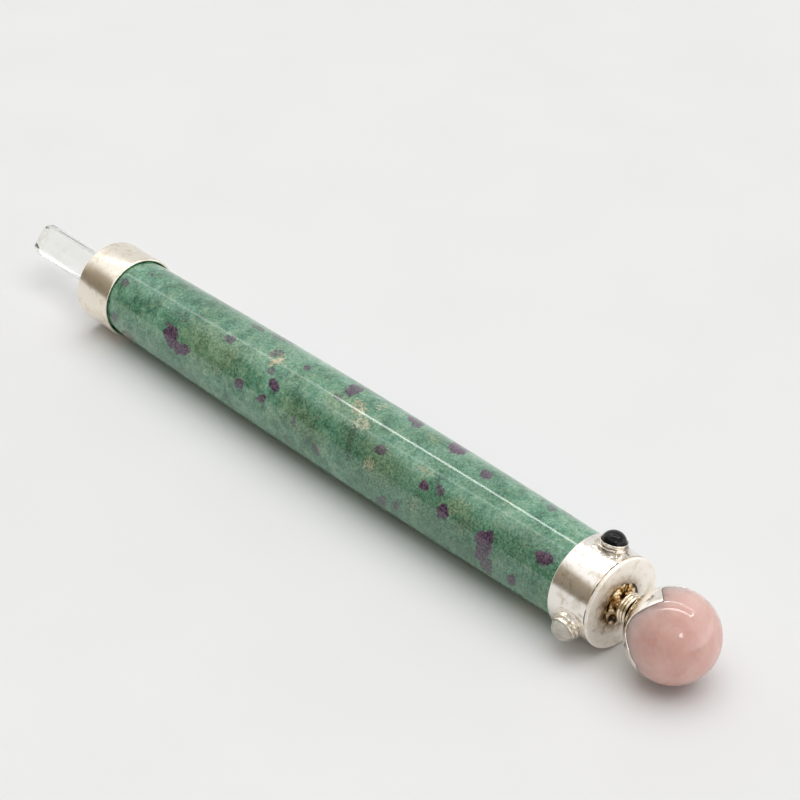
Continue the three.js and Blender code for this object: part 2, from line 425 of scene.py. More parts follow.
@dataclass(frozen=True)
class PolishedFuchsite:
    """Fuchsite with ruby, turned and polished: a mottled mica green with purple-red ruby patches,
    tan and cream calcite, and pale mica flecks under a smooth glossy surface."""

    cloud_size: float = 13.0
    mottle_size: float = 3.0
    stain_size: float = 6.0
    crumb_size: float = 1.6
    # Mica grains are about 0.2 mm wide, and are drawn coarser so that they show.
    grain_size: float = 0.5
    fleck_size: float = 0.8
    wisp_size: float = 4.0
    ior: float = 1.58
    greens: Stops = ((0.4, "#34604a"), (0.48, "#568a6e"), (0.54, "#71a388"), (0.64, "#a3c3ad"))

    def material(self) -> bpy.types.Material:
        """Builds the material.

        Returns:
            The material.
        """
        material, tree = start_material("polished_ruby_fuchsite")
        place = add_node(tree, Kind.COORDINATES, out="Object")
        sized = {"Vector": place, "Scale": per_metre(self.cloud_size), "Detail": 3.0, "Distortion": 0.4}
        clouds = add_node(tree, Kind.NOISE, sized)
        sized = {"Vector": place, "Scale": per_metre(self.mottle_size), "Detail": 5.0, "Roughness": 0.65}
        mottle = add_node(tree, Kind.NOISE, sized | {"Distortion": 0.5})
        sized = {"Vector": place, "Scale": per_metre(self.crumb_size), "Roughness": 0.55, "Distortion": 0.4}
        crumb = add_node(tree, Kind.NOISE, sized)
        sized = {"Vector": place, "Scale": per_metre(self.grain_size), "Roughness": 0.7}
        grain = add_node(tree, Kind.NOISE, sized)
        contrast = add_node(tree, Kind.RANGE, (grain, 0.35, 0.65))

        tone = add_node(tree, Kind.MATH, (clouds, 0.25), operation="MULTIPLY")
        tone = add_node(tree, Kind.MATH, (mottle, 0.4, tone), operation="MULTIPLY_ADD")
        tone = add_node(tree, Kind.MATH, (grain, 0.35, tone), operation="MULTIPLY_ADD")
        colour = add_node(tree, Kind.RAMP, (tone,), stops=self.greens)
        colour = self.strewn(tree, place, mottle, crumb, colour)

        soft_edge = add_node(tree, Kind.MATH, (mottle, 2.0), operation="MULTIPLY")
        deep = self.patch(tree, Mineral.DEEP_GREEN, soft_edge, 1.0, 2.0, 0.62)
        colour = self.laid(tree, colour, deep, contrast, "#35573f", "#5a8368")
        stain = self.patch(tree, Mineral.IRON_STAIN, soft_edge, 1.2, 2.0, 0.34)
        colour = self.laid(tree, colour, stain, contrast, "#6d7c52", "#a3a878")
        rough_edge = add_node(tree, Kind.MATH, (crumb, 1.5), operation="MULTIPLY")
        seam = self.patch(tree, Mineral.DARK_SEAM, rough_edge, 0.95, 1.6, 0.62)
        colour = self.laid(tree, colour, seam, contrast, "#26382b", "#3f5a46")
        depth = add_node(tree, Kind.ATTRIBUTE, out="Fac", attribute_name=Mineral.CALCITE.value + "_depth")
        crumbly_edge = add_node(tree, Kind.MATH, (grain, 3.0, depth), operation="MULTIPLY_ADD")
        calcite = self.patch(tree, Mineral.CALCITE, crumbly_edge, 2.6, 2.95, 1.4)
        colour = self.laid(tree, colour, calcite, crumb, "#8f8560", "#e2d9bb")
        ruby = self.patch(tree, Mineral.RUBY, rough_edge, 1.08, 1.44, 1.0)
        colour = self.laid(tree, colour, ruby, contrast, "#32273a", "#6a5266")

        relief = {"Height": grain, "Distance": 0.006 * MM, "Strength": 0.2}
        end_material(
            tree,
            {
                "Base Color": colour,
                "Roughness": add_node(tree, Kind.RANGE, (grain, 0.3, 0.7, 0.05, 0.1)),
                "IOR": self.ior,
                "Normal": add_node(tree, Kind.BUMP, relief),
            },
        )
        return material

    def strewn(self, tree: Any, place: Any, mottle: Any, crumb: Any, colour: Any) -> Any:
        """Strews rusty wisps, dark specks and pale mica flecks over the green.

        Args:
            tree: The node tree.
            place: The socket of the coordinates.
            mottle: The socket of the coarser noise.
            crumb: The socket of the finer noise.
            colour: The socket of the green.

        Returns:
            The socket of the colour.
        """
        sized = {"Vector": place, "Scale": per_metre(self.stain_size), "Detail": 5.0, "Roughness": 0.7}
        rust = add_node(tree, Kind.RANGE, (add_node(tree, Kind.NOISE, sized), 0.5, 0.72, 0.0, 0.3))
        colour = self.laid(tree, colour, rust, crumb, "#6d7c52", "#93a070")
        sized = {"Vector": place, "Scale": per_metre(self.wisp_size), "Detail": 4.0, "Roughness": 0.6}
        folds = add_node(tree, Kind.NOISE, sized | {"Distortion": 1.0})
        ridge = add_node(tree, Kind.MATH, (folds, 0.5), operation="SUBTRACT")
        ridge = add_node(tree, Kind.MATH, (ridge,), operation="ABSOLUTE")
        wisps = add_node(tree, Kind.RANGE, (ridge, 0.025, 0.0, 0.0, 0.4))
        broken = add_node(tree, Kind.RANGE, (crumb, 0.42, 0.6))
        wisps = add_node(tree, Kind.MATH, (wisps, broken), operation="MULTIPLY")
        colour = self.laid(tree, colour, wisps, mottle, "#a9b98c", "#cdd2a8")
        sized = {"Vector": place, "Scale": per_metre(self.fleck_size)}
        spot = add_node(tree, Kind.RANGE, (add_node(tree, Kind.VORONOI, sized), 0.27, 0.1))
        mica = (0.48, 0.58, "#a9cbae", "#cfe0c8")
        specks = (0.5, 0.42, "#21452f", "#33604a")
        for start, stop, dark, light in (mica, specks):
            share = add_node(tree, Kind.RANGE, (mottle, start, stop, 0.0, 0.4))
            share = add_node(tree, Kind.MATH, (spot, share), operation="MULTIPLY")
            colour = self.laid(tree, colour, share, crumb, dark, light)
        return colour

    @staticmethod
    def laid(tree: Any, colour: Any, share: Any, blend: Any, dark: str, light: str) -> Any:
        """Lays a mineral's two colours over the stone.

        Args:
            tree: The node tree.
            colour: The socket of the stone's colour.
            share: The socket of the mineral's share.
            blend: The socket of the noise that goes from its dark to its light colour.
            dark: Its dark colour.
            light: Its light colour.

        Returns:
            The socket of the new colour.
        """
        own = add_node(tree, Kind.RAMP, (blend,), stops=((0.3, dark), (0.7, light)))
        return add_node(tree, Kind.MIX, {0: share, 6: colour, 7: own}, 2, data_type="RGBA")

    @staticmethod
    def patch(tree: Any, mineral: Mineral, edge: Any, low: float, high: float, cover: float) -> Any:
        """The socket of a mineral's share of the surface.

        Args:
            tree: The node tree.
            mineral: The mineral, whose attributes hold its patches.
            edge: The socket of the noise that breaks up the patches' edges.
            low: The sum of patch and noise where the mineral starts.
            high: The sum where it is full.
            cover: How much it then hides of the stone.

        Returns:
            The socket.
        """
        field = add_node(tree, Kind.ATTRIBUTE, out="Fac", attribute_name=mineral.value)
        depth = add_node(tree, Kind.ATTRIBUTE, out="Fac", attribute_name=mineral.value + "_depth")
        present = add_node(tree, Kind.MATH, (field, edge), operation="ADD")
        share = add_node(tree, Kind.RANGE, (present, low, high, 0.0, cover), interpolation_type="SMOOTHSTEP")
        inside = add_node(tree, Kind.RANGE, (field, 0.0, 0.12))
        share = add_node(tree, Kind.MATH, (share, inside), operation="MULTIPLY")
        return add_node(tree, Kind.MATH, (share, depth), operation="MULTIPLY")


@dataclass(frozen=True)
class WorkedSilver:
    """Sterling silver sheet and wire, filed and buffed by hand: a warm white mirror with soft
    waves, fine buffing lines and a breath of tarnish.

    Attributes:
        name: The material's name.
        tint: The metal's colour.
        roughness: Its roughness where it is best polished.
        wave: The depth of its waves in millimetres.
        stain_radius: How far heat stain reaches around the neck, in millimetres.
        tarnish: The colour of its tarnish.
    """

    name: str
    tint: str
    roughness: float
    wave: float
    stain_radius: float = 0.0
    tarnish: str = "#cdbfa8"
    stain_middle: tuple[float, float, float] = (0.0, -1.0, 0.3)
    wave_size: float = 4.5
    smudge_size: float = 2.2
    # Buffing lines are a few hundredths of a millimetre wide, and are drawn coarser so that they show.
    scratch_size: float = 0.25
    burn_size: float = 1.4
    burnt: Stops = ((0.3, "#3a2717"), (0.45, "#7d5832"), (0.58, "#c8a774"), (0.72, "#efe3cf"))

    def material(self) -> bpy.types.Material:
        """Builds the material.

        Returns:
            The material.
        """
        material, tree = start_material(self.name)
        place = add_node(tree, Kind.COORDINATES, out="Object")
        sized = {"Vector": place, "Scale": per_metre(self.wave_size), "Detail": 1.0}
        waves = add_node(tree, Kind.NOISE, sized)
        sized = {"Vector": place, "Scale": per_metre(self.smudge_size), "Detail": 4.0, "Roughness": 0.6}
        smudge = add_node(tree, Kind.NOISE, sized | {"Distortion": 0.5})
        drawn_out = add_node(tree, Kind.MAPPING, {"Vector": place, "Scale": (1.0, 0.12, 0.12)})
        scratches = add_node(tree, Kind.NOISE, {"Vector": drawn_out, "Scale": per_metre(self.scratch_size)})
        stops = ((0.5, self.tint), (0.72, self.tarnish))
        colour = add_node(tree, Kind.RAMP, (smudge,), stops=stops)
        rough = add_node(tree, Kind.RANGE, (smudge, 0.35, 0.75, self.roughness, self.roughness + 0.06))
        if self.stain_radius:
            stain = self.heat_stain(tree, place, smudge)
            sized = {"Vector": place, "Scale": per_metre(self.burn_size), "Detail": 3.0, "Distortion": 0.8}
            burn = add_node(tree, Kind.NOISE, sized)
            burnt = add_node(tree, Kind.RAMP, (burn,), stops=self.burnt)
            colour = add_node(tree, Kind.MIX, {0: stain, 6: colour, 7: burnt}, 2, data_type="RGBA")
        relief = add_node(tree, Kind.MATH, (scratches, 0.01, waves), operation="MULTIPLY_ADD")
        end_material(
            tree,
            {
                "Base Color": colour,
                "Roughness": rough,
                "Metallic": 1.0,
                "Normal": add_node(tree, Kind.BUMP, {"Height": relief, "Distance": self.wave * MM}),
            },
        )
        return material

    def heat_stain(self, tree: Any, place: Any, smudge: Any) -> Any:
        """The socket of the heat stain's share around the neck.

        Args:
            tree: The node tree.
            place: The socket of the coordinates.
            smudge: The socket of the noise that breaks up its edge.

        Returns:
            The socket.
        """
        middle = (AXIS + Vector(self.stain_middle)) * MM
        offset = add_node(tree, Kind.VECTOR_MATH, (place, middle), operation="SUBTRACT")
        flat = add_node(tree, Kind.VECTOR_MATH, (offset, (0.0, 1.0, 1.0)), operation="MULTIPLY")
        reach = add_node(tree, Kind.VECTOR_MATH, (flat,), "Value", operation="LENGTH")
        radius = self.stain_radius * MM
        ragged = add_node(tree, Kind.MATH, (smudge, radius, reach), operation="MULTIPLY_ADD")
        return add_node(tree, Kind.RANGE, (ragged, radius * 1.7, radius * 1.15))


@dataclass(frozen=True)
class BurntSolder:
    """Silver solder that ran and was fired: lumps of bright gold and silver between black and
    brown fire stain."""

    lump_size: float = 2.1
    fired: Stops = ((0.38, "#1b130c"), (0.47, "#3d2a17"), (0.53, "#b78d4f"), (0.6, "#f4e6cb"))

    def material(self) -> bpy.types.Material:
        """Builds the material.

        Returns:
            The material.
        """
        material, tree = start_material("burnt_silver_solder")
        place = add_node(tree, Kind.COORDINATES, out="Object")
        sized = {"Vector": place, "Scale": per_metre(self.lump_size), "Roughness": 0.55, "Distortion": 0.6}
        lumps = add_node(tree, Kind.NOISE, sized)
        relief = {"Height": lumps, "Distance": 0.2 * MM, "Strength": 0.5}
        end_material(
            tree,
            {
                "Base Color": add_node(tree, Kind.RAMP, (lumps,), stops=self.fired),
                "Roughness": add_node(tree, Kind.RANGE, (lumps, 0.35, 0.65, 0.45, 0.14)),
                "Metallic": 1.0,
                "Normal": add_node(tree, Kind.BUMP, relief),
            },
        )
        return material


@dataclass(frozen=True)
class RockCrystal:
    """Natural clear quartz: see-through, with faint growth lines across its prism faces and a
    chipped, clay-stained tip.

    Attributes:
        tip: Where the tip ends along the wand, in millimetres.
    """

    tip: float
    stained_length: float = 5.0
    ior: float = 1.544
    line_pitch: float = 0.5
    veil_size: float = 3.0
    chip_size: float = 1.6
    tip_roughness: float = 0.28

    def material(self) -> bpy.types.Material:
        """Builds the material.

        Returns:
            The material.
        """
        material, tree = start_material("natural_clear_quartz")
        place = add_node(tree, Kind.COORDINATES, out="Object")
        across = add_node(tree, Kind.MAPPING, {"Vector": place, "Scale": (1.0, 0.08, 0.08)})
        lines = add_node(tree, Kind.NOISE, {"Vector": across, "Scale": per_metre(self.line_pitch)})
        sized = {"Vector": place, "Detail": 3.0, "Roughness": 0.6, "Distortion": 0.8}
        veil = add_node(tree, Kind.NOISE, sized | {"Scale": per_metre(self.veil_size)})
        chips = add_node(tree, Kind.NOISE, sized | {"Scale": per_metre(self.chip_size)})
        along = add_node(tree, Kind.SEPARATE, (place,), "X")
        stained_from = (self.tip + self.stained_length) * MM
        near_tip = add_node(tree, Kind.RANGE, (along, stained_from, (self.tip + 1.0) * MM))
        stain = add_node(tree, Kind.RANGE, (chips, 0.4, 0.65))
        stain = add_node(tree, Kind.MATH, (near_tip, stain), operation="MULTIPLY")
        rough = add_node(tree, Kind.RANGE, (veil, 0.5, 0.8, 0.0, 0.1))
        rough = add_node(tree, Kind.MATH, (near_tip, self.tip_roughness, rough), operation="MULTIPLY_ADD")
        clear = add_node(tree, Kind.RAMP, (veil,), stops=((0.55, "#fdfefc"), (0.8, "#f1f2ea")))
        colour = {0: stain, 6: clear, 7: linear("#d9d6b8")}
        end_material(
            tree,
            {
                "Base Color": add_node(tree, Kind.MIX, colour, 2, data_type="RGBA"),
                "Roughness": rough,
                "IOR": self.ior,
                "Transmission Weight": 1.0,
                "Normal": add_node(tree, Kind.BUMP, {"Height": lines, "Distance": 0.01 * MM}),
            },
        )
        return material


@dataclass(frozen=True)
class MilkyGem:
    """A polished translucent stone with soft veils inside.

    Attributes:
        name: The material's name.
        clear: The colour of its clearer parts.
        veiled: The colour of its veils.
        veil_size: The size of the veils in millimetres.
        ior: Its refractive index.
        glow: How much light spreads inside it.
        spread: How far that light spreads, in millimetres.
        through: How much light goes straight through.
        roughness: The roughness of its polish.
        gloss: The level of its surface reflection.
    """

    name: str
    clear: str
    veiled: str
    veil_size: float
    ior: float
    glow: float
    spread: float
    through: float = 0.0
    roughness: float = 0.03
    gloss: float = 0.5

    def material(self) -> bpy.types.Material:
        """Builds the material.

        Returns:
            The material.
        """
        material, tree = start_material(self.name)
        place = add_node(tree, Kind.COORDINATES, out="Object")
        sized = {"Vector": place, "Scale": per_metre(self.veil_size), "Detail": 4.0, "Distortion": 1.2}
        veils = add_node(tree, Kind.NOISE, sized)
        sized = {"Vector": place, "Scale": per_metre(self.veil_size / 4), "Detail": 3.0, "Distortion": 1.5}
        wisps = add_node(tree, Kind.NOISE, sized)
        share = add_node(tree, Kind.MATH, (veils, 0.75), operation="MULTIPLY")
        share = add_node(tree, Kind.MATH, (wisps, 0.25, share), operation="MULTIPLY_ADD")
        stops = ((0.38, self.clear), (0.64, self.veiled))
        rough = add_node(tree, Kind.RANGE, (wisps, 0.3, 0.8, self.roughness, self.roughness + 0.05))
        end_material(
            tree,
            {
                "Base Color": add_node(tree, Kind.RAMP, (share,), stops=stops),
                "Roughness": rough,
                "IOR": self.ior,
                "Subsurface Weight": self.glow,
                "Subsurface Radius": (1.0, 0.6, 0.5),
                "Subsurface Scale": self.spread * MM,
                "Transmission Weight": self.through,
                "Specular IOR Level": self.gloss,
            },
        )
        return material


# Ground to a ball and polished: a soft milky pink that light soaks into, under a clear gloss.
ROSE_QUARTZ = MilkyGem("polished_rose_quartz", "#c9a299", "#d6b5ad", 9.0, 1.544, 1.0, 14.0)
# Domed and polished: near black, with only small highlights.
ONYX = MilkyGem("polished_black_onyx", "#050506", "#0b0b0d", 2.5, 1.54, 0.0, 0.5, 0.0, 0.04, 0.22)
# Domed and polished: cloudy white that light partly goes through.
MOONSTONE = MilkyGem("polished_moonstone", "#c2beb4", "#e6e0d4", 2.5, 1.52, 0.5, 1.5, 0.25, 0.08)
# Domed and polished: a deep red that lightens where light goes through.
GARNET = MilkyGem("polished_garnet", "#3d0610", "#6a1220", 2.5, 1.76, 0.0, 0.5, 0.35, 0.04)


class Gem(Enum):
    """The cabochons, by the start of their nodes' names."""

    ONYX = "onyx"
    MOONSTONE = "moonstone"
    GARNET = "garnet"

    def finish(self) -> MilkyGem:
        """The gem's finish."""
        return {Gem.ONYX: ONYX, Gem.MOONSTONE: MOONSTONE, Gem.GARNET: GARNET}[self]

    def angle(self) -> float:
        """Where the gem stands around the collar, in degrees from the top."""
        return {Gem.ONYX: -12.0, Gem.MOONSTONE: 108.0, Gem.GARNET: 228.0}[self]


@dataclass
class StoneRod:
    """The polished stone, swelling gently to its middle, its ends seated in the collars."""

    end_radius: float = 9.2
    middle_radius: float = 9.95
    tenon_radius: float = 9.0
    rows: int = 180
    steps: int = 160
    hidden_marks: int = 34
    seed: int = 11

    def build(self) -> None:
        """Turns the rod and gives it its markings."""
        low, high = node_span("stone_rod")
        start = node_span("crystal_collar")[1]
        stop = node_span("stone_collar")[0]
        profile = [(0.0, low), (self.tenon_radius, low)]
        for row in range(self.rows + 1):
            share = row / self.rows
            swell = 1 - (2 * share - 1) ** 2
            radius = self.end_radius + (self.middle_radius - self.end_radius) * swell
            profile.append((radius, start + (stop - start) * share))
        profile += [(self.tenon_radius, high), (0.0, high)]
        rod = Modeller.turned("fuchsite_rod", profile, self.steps)
        for mineral, marks in MARKS.items():
            self.mark(rod, mineral, (*marks, *self.unseen(mineral, start, stop)))
        place_piece(rod, PolishedFuchsite().material(), "stone_rod")

    def unseen(self, mineral: Mineral, start: float, stop: float) -> list[Mark]:
        """Scatters marks of the same kinds over the side that faces away.

        Args:
            mineral: The mineral.
            start: Where the visible stone starts, in millimetres.
            stop: Where it ends.

        Returns:
            The marks.
        """
        shares = {
            Mineral.RUBY: 1.0,
            Mineral.CALCITE: 0.3,
            Mineral.IRON_STAIN: 0.25,
            Mineral.DEEP_GREEN: 0.3,
            Mineral.DARK_SEAM: 0.12,
        }
        draw = np.random.default_rng(self.seed + len(mineral.value))
        marks = []
        for _ in range(int(self.hidden_marks * shares[mineral])):
            pattern = MARKS[mineral][draw.integers(len(MARKS[mineral]))]
            along = draw.uniform(start + 2, stop - 2)
            around = draw.uniform(140, 325)
            size = draw.uniform(0.8, 1.2)
            turn = draw.uniform(-90, 90)
            length, width = pattern.length * size, pattern.width * size
            marks.append(Mark(along, around, length, width, turn, pattern.depth))
        return marks

    def mark(self, rod: bpy.types.Object, mineral: Mineral, marks: Sequence[Mark]) -> None:
        """Writes how deep each point of the rod lies in a mineral's patches.

        Args:
            rod: The rod.
            mineral: The mineral.
            marks: Its patches.
        """
        count = len(rod.data.vertices)
        places = np.zeros(count * 3)
        rod.data.vertices.foreach_get("co", places)
        places = places.reshape(-1, 3) / MM
        around = np.arctan2(-places[:, 1], places[:, 2] - AXIS.z)
        field = np.zeros(count)
        depth = np.zeros(count)
        for mark in marks:
            turned = around - math.radians(mark.around)
            arc_length = (np.mod(turned + math.pi, math.tau) - math.pi) * self.middle_radius
            length = places[:, 0] - mark.along
            cosine, sine = math.cos(math.radians(mark.turn)), math.sin(math.radians(mark.turn))
            down = (length * cosine + arc_length * sine) / mark.length
            across = (arc_length * cosine - length * sine) / mark.width
            near = np.clip(1.5 - np.hypot(down, across), 0.0, 1.0)
            depth = np.where(near > field, mark.depth, depth)
            field = np.maximum(field, near)
        for name, values in ((mineral.value, field), (mineral.value + "_depth", depth)):
            attribute = rod.data.attributes.new(name, "FLOAT", "POINT")
            attribute.data.foreach_set("value", values.astype(np.float32))


@dataclass
class CrystalEnd:
    """The far collar with its pierced end plate, and the natural quartz point set in it."""

    wall: float = 0.45
    lip: float = 0.32
    plate: float = 1.2
    edge: float = 0.35
    hole_radius: float = 4.5
    hole_edge: float = 0.15
    quartz_radius: float = 4.1
    quartz_edge: float = 0.09
    broad_face: float = 46.0
    half_thickness: float = 2.1
    face_slope: float = 51.8
    face_offsets: tuple[float, ...] = (0.0, 1.5, 1.1, 0.15, 1.4, 1.7)
    cement_inner: float = 3.28
    cement_shoulder: float = 3.895
    cement_outer: float = 4.4
    cement_heights: tuple[float, float, float] = (0.5, 0.35, 0.05)

    def build(self) -> None:
        """Builds the collar, the cement bed and the crystal."""
        self.collar()
        self.cement()
        self.crystal()

    def collar(self) -> None:
        """Turns the collar with softly rounded edges."""
        low, high = node_span("crystal_collar")
        outer, inner, edge, lip = COLLAR_RADIUS, COLLAR_RADIUS - self.wall, self.edge, self.lip
        profile = [
            (self.hole_radius, low + self.plate),
            (self.hole_radius, low + self.hole_edge),
            (self.hole_radius + self.hole_edge, low),
            *arc((outer - edge, low + edge), edge, -90, 0, 6),
            *arc((outer - lip, high - lip), lip, 0, 180, 8),
            (inner, high - 4 * lip),
            (inner, low + self.plate),
            (self.hole_radius, low + self.plate),
        ]
        collar = Modeller.turned("crystal_end_collar", profile, 128)
        finish = WorkedSilver("satin_silver", "#f2eadc", 0.2, 0.006, tarnish="#ddd0b8")
        place_piece(collar, finish.material(), "crystal_collar")

    def cement(self) -> None:
        """Lays the bed of clear cement around the crystal's root."""
        low = node_span("crystal_collar")[0]
        top, shoulder, edge = self.cement_heights
        profile = [
            (self.cement_inner, low + self.plate),
            (self.cement_inner, low - top),
            (self.cement_shoulder, low - shoulder),
            (self.cement_outer, low - edge),
            (self.cement_outer, low + self.plate),
            (self.cement_inner, low + self.plate),
        ]
        bed = Modeller.turned("crystal_cement", profile, 48, smooth_angle=60)
        Modeller.roughened(bed, size=1.5, depth=0.12)
        # Poured and set hard: a dull, cloudy white.
        finish = MilkyGem("clear_set_cement", "#c9c6ba", "#e4e1d6", 1.5, 1.5, 0.3, 0.8, 0.2, 0.3)
        place_piece(bed, finish.material())

    def crystal(self) -> None:
        """Cuts the six end faces on a six-sided prism and softens its edges."""
        tip, root = node_span("quartz_point")
        bpy.ops.object.select_all(action="DESELECT")
        bpy.ops.mesh.primitive_cylinder_add(
            vertices=6,
            radius=self.quartz_radius * MM,
            depth=(root - tip) * MM,
            location=((root + tip) / 2 * MM, 0.0, AXIS.z * MM),
            rotation=(0.0, math.pi / 2, 0.0),
        )
        crystal = bpy.context.object
        crystal.name = "clear_quartz_point"
        bpy.ops.object.transform_apply(location=True, rotation=True, scale=True)
        bpy.ops.object.mode_set(mode="EDIT")
        bpy.ops.mesh.select_all(action="SELECT")
        bpy.ops.transform.rotate(
            value=math.radians(-self.broad_face - 60), orient_axis="X", center_override=AXIS * MM
        )
        for side in (1.0, -1.0):
            out = outward(self.broad_face) * side
            self.cut(AXIS + out * self.half_thickness, out)
        slope = math.radians(self.face_slope)
        for face, offset in enumerate(self.face_offsets):
            out = outward(self.broad_face + face * 60)
            self.cut(ALONG * tip + AXIS + out * offset, out * math.sin(slope) - ALONG * math.cos(slope))
        bpy.ops.mesh.select_all(action="SELECT")
        bpy.ops.mesh.bevel(offset=self.quartz_edge * MM, segments=2)
        Modeller.end(crystal, 20)
        place_piece(crystal, RockCrystal(tip).material(), "quartz_point")

    @staticmethod
    def cut(place: Vector, away: Vector) -> None:
        """Cuts off what lies beyond a plane through a place, in millimetres, and closes the cut."""
        bpy.ops.mesh.select_all(action="SELECT")
        bpy.ops.mesh.bisect(plane_co=place * MM, plane_no=away, use_fill=True, clear_outer=True)


@dataclass
class CabochonSetting:
    """A high round cabochon in a plain bezel, soldered to the collar.

    Attributes:
        gem: The stone.
    """

    gem: Gem
    radius: float = 2.8
    wall: float = 0.3
    foot_radius: float = 3.12
    foot_bottom: float = 9.0
    foot_top: float = 10.5
    wire: float = 0.3
    step_in: float = 0.1
    step_heights: tuple[float, float] = (0.05, 0.2)
    solder_inner: float = 2.72
    solder_radius: float = 3.9
    solder_height: float = 0.45
    solder_depth: float = 0.3
    solder_rows: int = 8
    seat: float = 10.55
    stone_gap: float = 0.05
    girdle: float = 11.15
    lip: float = 11.35
    apex: float = 13.2
    dome_rows: int = 16
    steps: int = 72

    def foot(self) -> Vector:
        """The point on the wand's axis that the setting stands over."""
        low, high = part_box(self.gem.value + "_cabochon")
        return Vector(((low.x + high.x) / 2 / MM, 0.0, AXIS.z))

    def build(self) -> None:
        """Builds the bezel, its solder and the stone."""
        self.bezel()
        self.solder()
        self.stone()

    def bezel(self) -> None:
        """Turns the bezel with a rolled lip and a step, and lets its solder run uneven."""
        inner, rim = self.radius - self.wall, self.wall / 2
        step_low, step_high = self.step_heights
        profile = [
            (0.0, self.foot_bottom),
            (self.foot_radius, self.foot_bottom),
            *arc((self.foot_radius - self.wire, self.foot_top - self.wire), self.wire, -40, 75, 8),
            (self.radius - self.step_in, self.foot_top + step_low),
            (self.radius, self.foot_top + step_high),
            *arc((self.radius - rim, self.lip - rim), rim, 0, 180, 8),
            (inner, self.seat),
            (0.0, self.seat),
        ]
        name = self.gem.value + "_setting"
        bezel = Modeller.turned(name, profile, self.steps, self.foot(), outward(self.gem.angle()))
        Modeller.roughened(bezel, size=0.8, depth=0.14)
        finish = WorkedSilver("soldered_silver", "#efe7da", 0.16, 0.06, tarnish="#4f3d2b")
        place_piece(bezel, finish.material(), self.gem.value + "_bezel")

    def solder(self) -> None:
        """Turns a low ring of solder, lays it on the collar's round and makes it lumpy."""
        inner, bottom = self.solder_inner, -self.solder_depth
        profile = [(inner, bottom), (inner, self.solder_height)]
        for row in range(1, self.solder_rows + 1):
            share = row / self.solder_rows
            radius = inner + (self.solder_radius - inner) * share
            profile.append((radius, self.solder_height * (1 - share) ** 2))
        profile += [(self.solder_radius, bottom), (inner, bottom)]
        foot, out = self.foot(), outward(self.gem.angle())
        ring = Modeller.turned(self.gem.value + "_solder", profile, self.steps, foot, out, 60)
        for vertex in ring.data.vertices:
            place = vertex.co / MM - foot
            height = place.dot(out)
            side = place - ALONG * place.x - out * height
            lean = side.normalized() * math.sin(side.length / COLLAR_RADIUS)
            rise = out * math.cos(side.length / COLLAR_RADIUS)
            vertex.co = (foot + ALONG * place.x + (lean + rise) * (self.collar_radius(place.x) + height)) * MM
        Modeller.roughened(ring, size=0.7, depth=0.35)
        finish = WorkedSilver("flowed_solder", "#e9e0d2", 0.14, 0.08, tarnish="#4a3927")
        place_piece(ring, finish.material())

    @staticmethod
    def collar_radius(along: float) -> float:
        """Finds the collar's radius under the setting.

        Args:
            along: The distance along from the setting's middle, in millimetres.

        Returns:
            The radius in millimetres.
        """
        low, high = node_span("stone_collar")
        share = (along + BEZEL_FROM_RIM) / (high - low)
        return COLLAR_RADIUS + (StoneCollar.end_radius - COLLAR_RADIUS) * share

    def stone(self) -> None:
        """Turns the domed stone."""
        radius = self.radius - self.wall - self.stone_gap
        bottom = self.seat + self.stone_gap
        profile = [(0.0, bottom), (radius, bottom)]
        for row in range(self.dome_rows + 1):
            climb = math.radians(90 * row / self.dome_rows)
            across = max(radius * math.cos(climb), 0.0)
            profile.append((across, self.girdle + (self.apex - self.girdle) * math.sin(climb)))
        name = self.gem.value + "_stone"
        stone = Modeller.turned(name, profile, self.steps, self.foot(), outward(self.gem.angle()))
        place_piece(stone, self.gem.finish().material(), self.gem.value + "_cabochon")


